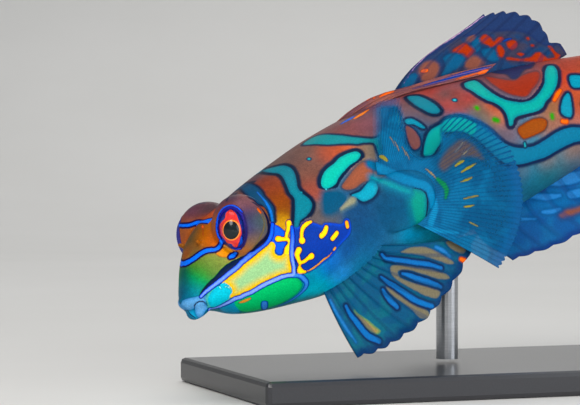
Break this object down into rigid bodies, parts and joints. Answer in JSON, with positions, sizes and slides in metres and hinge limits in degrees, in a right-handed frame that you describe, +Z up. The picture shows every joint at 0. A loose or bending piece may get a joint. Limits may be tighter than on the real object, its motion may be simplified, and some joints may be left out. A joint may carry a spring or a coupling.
{
  "type": "mandarinfish",
  "caption": "Life-size still model of a small spiny-rayed reef fish, swimming nose down with its fins spread, on a plain display stand.",
  "frame": {"origin": "middle of the stand base's underside", "axes": "+Z up; +X from the fish's head towards its tail, level with the base; +Y towards the fish's right side"},
  "size_m": [0.0601, 0.022, 0.0341],
  "materials": {
    "skin": "wet scaleless skin, orange with teal bands",
    "face": "wet scaleless skin, blue, green and yellow",
    "eye": "clear wet eye with a red iris",
    "fin": "thin blue fin membrane with raised rays",
    "stand": "plain dark base",
    "rod": "plain rod"
  },
  "bodies": {
    "root": {"head": "face", "trunk": "skin", "tail_stalk": "skin", "eye_left": "eye", "eye_right": "eye", "dorsal_fin_first": "fin", "dorsal_fin_second": "fin", "anal_fin": "fin", "caudal_fin": "fin", "pectoral_fin_left": "fin", "pectoral_fin_right": "fin", "pelvic_fin_left": "fin", "pelvic_fin_right": "fin", "stand_base": "stand", "stand_rod": "rod"}
  },
  "joints": []
}
